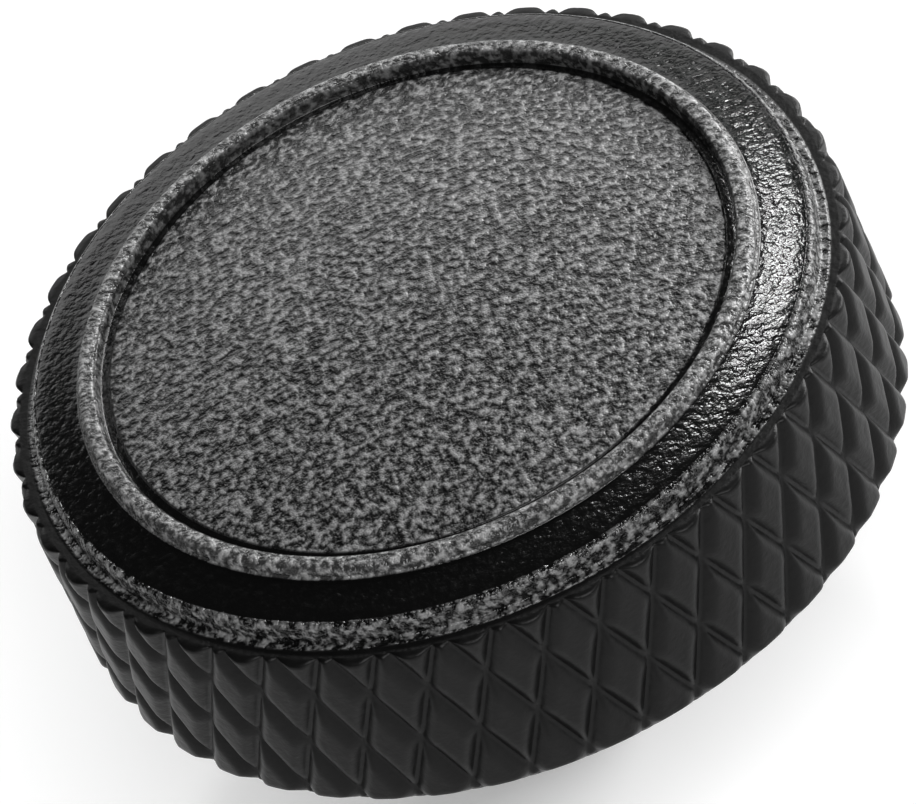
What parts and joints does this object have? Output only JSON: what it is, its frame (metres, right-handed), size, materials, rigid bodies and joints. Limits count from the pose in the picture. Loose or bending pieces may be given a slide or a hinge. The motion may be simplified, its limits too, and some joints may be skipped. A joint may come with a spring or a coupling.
{
  "type": "soft shutter release button",
  "caption": "Round knurled metal button with a low domed finger face inside a raised lip and a tapered threaded stem that screws into a camera's shutter release.",
  "frame": {"origin": "centre of the flat seat under the head, where the stem starts, on the turning axis", "axes": "+Z along the turning axis, out of the domed top; the stem points down -Z; a row of knurl diamonds' corners lies on +X"},
  "size_m": [0.012, 0.012, 0.008],
  "materials": {
    "black_metal": "grit-blasted and black anodised: grained satin black, brighter on the lip and the collar's edge, smoother on the knurl"
  },
  "bodies": {
    "root": {"release_button": "black_metal"}
  },
  "joints": []
}
